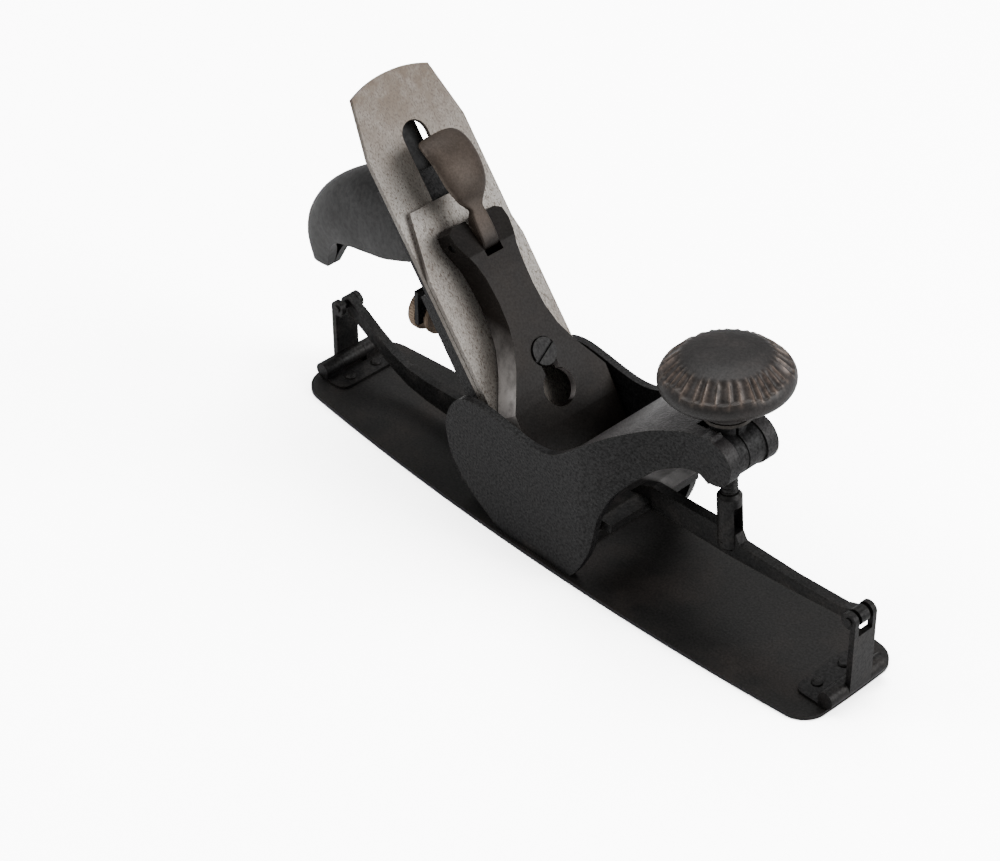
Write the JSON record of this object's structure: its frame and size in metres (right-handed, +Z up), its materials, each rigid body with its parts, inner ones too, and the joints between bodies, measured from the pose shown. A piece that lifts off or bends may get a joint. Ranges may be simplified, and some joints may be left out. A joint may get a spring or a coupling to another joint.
{
  "type": "compass plane",
  "caption": "Adjustable compass plane: thin flexible sole bent by linked levers from a front knob, with iron, cap iron, lever cap, brass depth wheel and beak grip",
  "frame": {"origin": "underside of the sole, middle of its length and width", "axes": "+X to the toe, +Y to the far side, +Z up"},
  "size_m": [0.2728, 0.0574, 0.1408],
  "materials": {
    "japanned_iron": "black japanning, satin, slightly rough",
    "sole_steel": "dark oxidised steel, satin",
    "dark_steel": "blackened steel, satin",
    "grey_steel": "mottled grey steel with fine pitting",
    "patina_iron": "dark brown patina with bright worn edges",
    "knob_iron": "dark brown, glossy at the rim",
    "brass": "tarnished",
    "bright_steel": "worn bright"
  },
  "bodies": {
    "plane_body": {"body_casting": "japanned_iron", "sole": "sole_steel", "sole_block": "sole_steel", "block_rivets": "dark_steel", "sole_screws": "dark_steel", "grip": "japanned_iron", "grip_screws": "dark_steel", "lever_pivots": "dark_steel", "swivel_pins": "dark_steel", "wheel_stud": "dark_steel", "adjusting_lever_pin": "dark_steel", "lever_cap": "patina_iron", "lever_cap_screw": "dark_steel", "cam_pin": "dark_steel"},
    "toe_end": {"front_hinge_plate": "sole_steel", "front_plate_rivets": "dark_steel", "front_hinge_pin": "dark_steel"},
    "heel_end": {"rear_hinge_plate": "sole_steel", "rear_plate_rivets": "dark_steel", "rear_hinge_pin": "dark_steel"},
    "front_lever_body": {"front_lever": "dark_steel"},
    "rear_lever_body": {"rear_lever": "dark_steel"},
    "front_link_body": {"front_link": "dark_steel", "front_link_pin": "dark_steel"},
    "rear_link_body": {"rear_link": "dark_steel", "rear_link_pin": "dark_steel"},
    "swivel_body": {"swivel_block": "dark_steel", "thrust_washer": "bright_steel"},
    "knob_body": {"knob": "knob_iron", "knob_collar": "dark_steel"},
    "clevis_body": {"clevis_screw": "dark_steel", "clevis_pin": "dark_steel"},
    "cutter": {"iron": "grey_steel", "cap_iron": "grey_steel", "cap_iron_screw": "dark_steel"},
    "wheel_body": {"depth_wheel": "brass"},
    "adjuster_body": {"adjusting_lever": "dark_steel"},
    "cam_body": {"cam_lever": "patina_iron"}
  },
  "joints": [
    {"name": "knob_spin", "type": "hinge", "parent": "swivel_body", "child": "knob_body", "pos_m": [0.0656, 0, 0.097], "axis": [-0.0785, 0, 0.9969], "range_deg": [-1069, 1069]},
    {"name": "swivel_tilt", "type": "hinge", "parent": "plane_body", "child": "swivel_body", "pos_m": [0.06766, 0, 0.0708], "axis": [0, 1, 0], "range_deg": [-1.46, 1.46]},
    {"name": "clevis_slide", "type": "slide", "parent": "swivel_body", "child": "clevis_body", "axis": [-0.0785, 0, 0.9969], "range_m": [-0.0049, 0.0049]},
    {"name": "front_lever_turn", "type": "hinge", "parent": "plane_body", "child": "front_lever_body", "pos_m": [0.017, 0, 0.02], "axis": [0, 1, 0], "range_deg": [-5.12, 5.12]},
    {"name": "rear_lever_turn", "type": "hinge", "parent": "plane_body", "child": "rear_lever_body", "pos_m": [-0.003, 0, 0.02], "axis": [0, 1, 0], "range_deg": [-5.12, 5.12]},
    {"name": "front_link_turn", "type": "hinge", "parent": "front_lever_body", "child": "front_link_body", "pos_m": [0.1271, 0, 0.0346], "axis": [0, 1, 0], "range_deg": [-3.4, 3.4]},
    {"name": "rear_link_turn", "type": "hinge", "parent": "rear_lever_body", "child": "rear_link_body", "pos_m": [-0.1233, 0, 0.0293], "axis": [0, 1, 0], "range_deg": [-4.21, 4.21]},
    {"name": "toe_bend", "type": "hinge", "parent": "plane_body", "child": "toe_end", "pos_m": [0.018, 0, 0.0008], "axis": [0, 1, 0], "range_deg": [-5.16, 5.16], "deforming": ["sole"]},
    {"name": "heel_bend", "type": "hinge", "parent": "plane_body", "child": "heel_end", "pos_m": [-0.018, 0, 0.0008], "axis": [0, 1, 0], "range_deg": [-5.84, 5.84], "deforming": ["sole"]},
    {"name": "wheel_spin", "type": "hinge", "parent": "plane_body", "child": "wheel_body", "pos_m": [-0.0755, 0, 0.051], "axis": [1, 0, 0], "range_deg": [-173, 173]},
    {"name": "adjuster_turn", "type": "hinge", "parent": "plane_body", "child": "adjuster_body", "pos_m": [-0.05503, 0, 0.06685], "axis": [0, 1, 0], "range_deg": [-1.9, 1.9]},
    {"name": "cutter_slide", "type": "slide", "parent": "plane_body", "child": "cutter", "axis": [-0.6095, 0, 0.7928], "range_m": [-0.00045, 0.00045]},
    {"name": "cam_flip", "type": "hinge", "parent": "plane_body", "child": "cam_body", "pos_m": [-0.05136, 0, 0.09489], "axis": [0, 1, 0], "range_deg": [0, 95]}
  ],
  "couplings": [
    {"joint": "swivel_tilt", "follows": "knob_spin", "ratio": -0.001317},
    {"joint": "clevis_slide", "follows": "knob_spin", "m_per_rad": -0.00025465},
    {"joint": "front_lever_turn", "follows": "knob_spin", "ratio": 0.004675},
    {"joint": "toe_bend", "follows": "knob_spin", "ratio": 0.0047179},
    {"joint": "front_link_turn", "follows": "knob_spin", "ratio": -0.0031023},
    {"joint": "rear_lever_turn", "follows": "knob_spin", "ratio": -0.004675},
    {"joint": "heel_bend", "follows": "knob_spin", "ratio": -0.0053412},
    {"joint": "rear_link_turn", "follows": "knob_spin", "ratio": 0.0038461},
    {"joint": "adjuster_turn", "follows": "cutter_slide", "rad_per_m": 71.365},
    {"joint": "wheel_spin", "follows": "cutter_slide", "rad_per_m": 6593.5}
  ]
}
